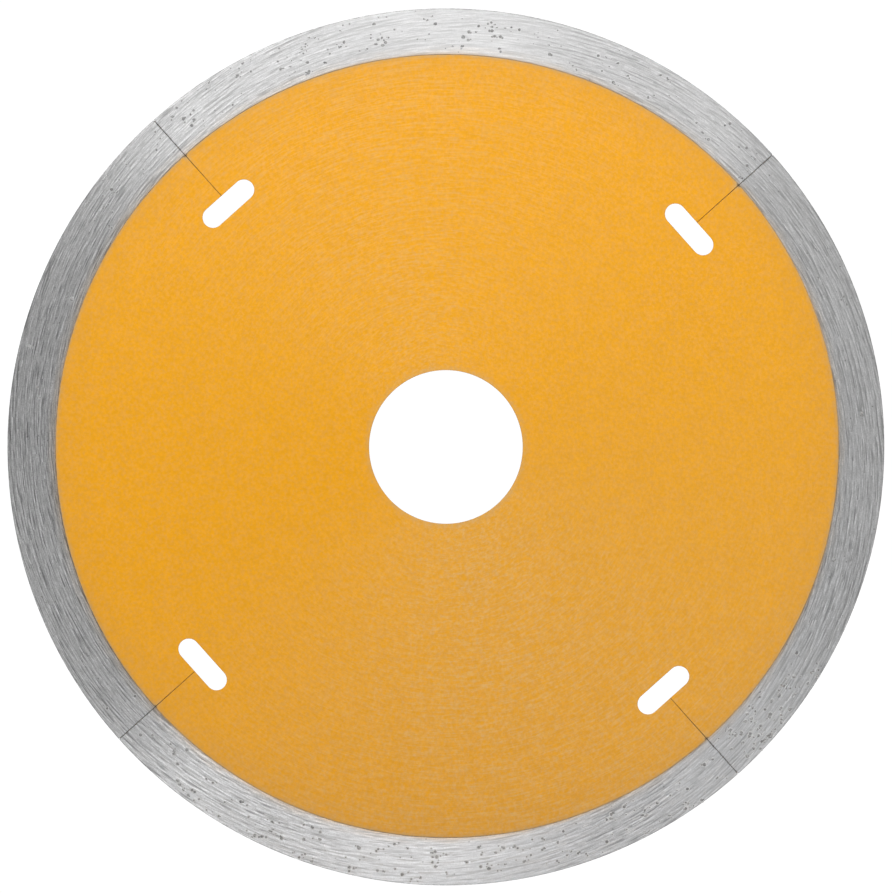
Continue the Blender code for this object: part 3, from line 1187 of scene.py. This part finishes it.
    def _grain(self, radius: float, angle: float, side: Side, size: float, draw: random.Random) -> Solid:
        """Return one crystal: a squashed and turned icosahedron set into the face."""
        cage = bmesh.new()
        bmesh.ops.create_icosphere(cage, subdivisions=1, radius=size)
        spin, tip = draw.uniform(0, math.tau), draw.uniform(0, 1)
        turn = Matrix.Rotation(spin, 3, "Y") @ Matrix.Rotation(tip, 3, "X")
        stretch = Vector((draw.uniform(0.85, 1.15), draw.uniform(0.30, 0.40), draw.uniform(0.8, 1.1)))
        centre = self._on_face(*polar(radius, angle), side, -self.sunk)
        points = [centre + (turn @ vertex.co) * stretch for vertex in cage.verts]
        faces = [tuple(corner.index for corner in face.verts) for face in cage.faces]
        cage.free()
        return points, faces

    def _bed(self, radius: float, angle: float, side: Side, reach: float) -> Solid:
        """Return the low mound of smeared metal that a grain sits in."""
        corners = 10
        x, z = polar(radius, angle)
        points: list[Vector] = []
        for across, lift in ((reach, -self.buried), (reach * 0.8, 0.003 * MM)):
            for i in range(corners):
                right, up = polar(across, math.tau * i / corners)
                points.append(self._on_face(x + right, z + up, side, lift))
        points.append(self._on_face(x, z, side, 0.006 * MM))
        faces: list[Face] = []
        for i in range(corners):
            j = (i + 1) % corners
            faces.append((i, j, corners + j, corners + i))
            faces.append((corners + i, corners + j, 2 * corners))
        return points, faces + [tuple(range(corners))]

    def _tail(self, radius: float, spot: Spot, heading: float, length: float, width: float) -> Solid:
        """Return one comet tail: a low ridge along the circumference that thins out to nothing."""
        stations = 6
        points: list[Vector] = []
        for share in spread(0.0, 1.0, stations):
            run = heading * length * share / radius
            half = width / 2 * (1.0 - share**2) + 0.004 * MM
            top, crest = half * 0.35, 0.008 * MM * (1.0 - share) + 0.001 * MM
            for across, lift in ((-half, -self.buried), (-top, crest), (top, crest), (half, -self.buried)):
                x, z = polar(radius * (1.0 - LAY * run) + across, spot.angle + run)
                points.append(self._on_face(x, z, spot.side, lift))
        return points, tube_faces(stations, 4)

    def _join(self, name: str, parts: list[Solid], finish: bpy.types.Material) -> None:
        """Join many small solids into one piece."""
        vertices: list[Vector] = []
        faces: list[Face] = []
        for points, corners in parts:
            start = len(vertices)
            vertices += points
            faces += [tuple(start + corner for corner in face) for face in corners]
        dress(new_piece(name, vertices, faces, smooth=False), finish)


@dataclass
class SlitShadeFill:
    """Dark fillings, painted shade of the slits, that close each slit a little below both faces."""

    sizes: BladeSizes
    sunk_in_core: float = 0.03 * MM
    sunk_in_rim: float = 0.28 * MM
    side_gap: float = 0.005 * MM
    end_gap: float = 0.15 * MM
    unevenness: float = 0.02 * MM
    steps: int = 60

    def build(self) -> None:
        """Build the four fillings."""
        sizes = self.sizes
        finish = SlitShadeFinish().build(sizes)
        start = sizes.slot_centre + sizes.slot_width / 2
        half = sizes.slit_width / 2 - self.side_gap
        for number in range(1, sizes.quarters + 1):
            angle = sizes.slit(number)
            points: list[Vector] = []
            for radius in spread(start, sizes.rim_edge - self.end_gap, self.steps):
                in_rim = radius > sizes.bond_foot + sizes.drift(angle)
                level = sizes.rim_half - self.sunk_in_rim if in_rim else sizes.core_half - self.sunk_in_core
                depth = level + self.unevenness * noise.noise(Vector((radius / (0.5 * MM), number, 0.0)))
                for across, y in ((-half, -depth), (half, -depth), (half, depth), (-half, depth)):
                    x, z = beside_ray(radius, angle, across)
                    points.append(Vector((x, y, z)))
            dust = new_piece(f"slit_shade_{number}", points, tube_faces(self.steps, 4), smooth=False)
            dress(dust, finish)


# ------------------------------------------------------------------------------------------ studio


@dataclass
class Studio:
    """A pale floor, a white horizon, soft lights on both faces and the camera."""

    sizes: BladeSizes
    view_height: float = 129.33 * MM
    camera_distance: float = 0.5
    floor_drop: float = 2.0 * MM
    floor_radius: float = 4.0

    def build(self) -> None:
        """Build the camera, the floor, the world and the lights."""
        self._camera()
        self._floor()
        self._world()
        self._softbox("key_front", (-0.05, -0.33, 0.375), 0.90, 0.22, 3.5)
        self._softbox("key_rear", (0.05, 0.33, 0.375), 0.90, 0.22, 3.5)
        view = bpy.context.scene.view_settings
        view.view_transform = "Standard"
        view.look = "None"

    def _camera(self) -> None:
        """Place the camera square in front of the blade's face."""
        lens = bpy.data.cameras.new("camera")
        lens.type = "ORTHO"
        lens.ortho_scale = self.view_height
        lens.clip_start = 0.01
        lens.clip_end = 20.0
        camera = add_object("camera", lens)
        camera.location = (0.015 * MM, -self.camera_distance, 0.06 * MM)
        camera.rotation_euler = (math.pi / 2, 0.0, 0.0)
        bpy.context.scene.camera = camera

    def _floor(self) -> None:
        """Lay a round pale floor just under the blade, which glows white far from it."""
        mesh = bpy.data.meshes.new("floor")
        cage = bmesh.new()
        bmesh.ops.create_circle(cage, cap_ends=True, segments=96, radius=self.floor_radius)
        cage.to_mesh(mesh)
        cage.free()
        floor = add_object("floor", mesh)
        floor.location.z = -self.sizes.rim_edge - self.floor_drop
        graph = Graph("pale_floor")
        graph.set(Base_Color=(0.82, 0.82, 0.82), Roughness=0.8)
        away = graph.node("ShaderNodeVectorMath", operation="LENGTH")
        graph.feed(away.inputs[0], graph.node("ShaderNodeTexCoord").outputs["Object"])
        glow = graph.ramp(away.outputs["Value"], 0.2, 0.8, 0.05, 0.90)
        graph.set(Emission_Color=(1.0, 1.0, 1.0), Emission_Strength=glow)
        mesh.materials.append(graph.material)
        floor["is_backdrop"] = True

    def _world(self) -> None:
        """Light the room evenly grey, with a white line at the horizon."""
        world = bpy.data.worlds.new("room")
        world.use_nodes = True
        bpy.context.scene.world = world
        nodes, links = world.node_tree.nodes, world.node_tree.links
        parts = nodes.new("ShaderNodeSeparateXYZ")
        links.new(nodes.new("ShaderNodeTexCoord").outputs["Generated"], parts.inputs[0])
        rise = nodes.new("ShaderNodeMath")
        rise.operation = "ABSOLUTE"
        links.new(parts.outputs[2], rise.inputs[0])
        fade = nodes.new("ShaderNodeMapRange")
        for end, value in (("From Min", 0.005), ("From Max", 0.015), ("To Min", 1.03), ("To Max", 0.17)):
            fade.inputs[end].default_value = value
        links.new(rise.outputs[0], fade.inputs["Value"])
        links.new(fade.outputs[0], nodes["Background"].inputs["Strength"])
        nodes["Background"].inputs["Color"].default_value = (1.0, 1.0, 1.0, 1.0)

    def _softbox(self, name: str, place: tuple, width: float, height: float, power: float) -> None:
        """Hang one soft rectangular light and turn it to the blade."""
        light = bpy.data.lights.new(name, "AREA")
        light.shape = "RECTANGLE"
        light.size = width
        light.size_y = height
        light.energy = power
        lamp = add_object(name, light)
        lamp.location = place
        lamp.rotation_euler = (-Vector(place)).to_track_quat("-Z", "Y").to_euler()


def main() -> None:
    """Build the blade and its studio."""
    logging.basicConfig(level=logging.INFO, format="%(name)s: %(message)s")
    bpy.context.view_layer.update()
    sizes = BladeSizes.from_frame()
    LOG.info("sizes: %s", sizes)
    Studio(sizes).build()
    Core(sizes).build()
    Paint(sizes).build()
    Rim(sizes).build()
    Grit(sizes).build()
    SlitShadeFill(sizes).build()


if __name__ == "__main__":
    main()
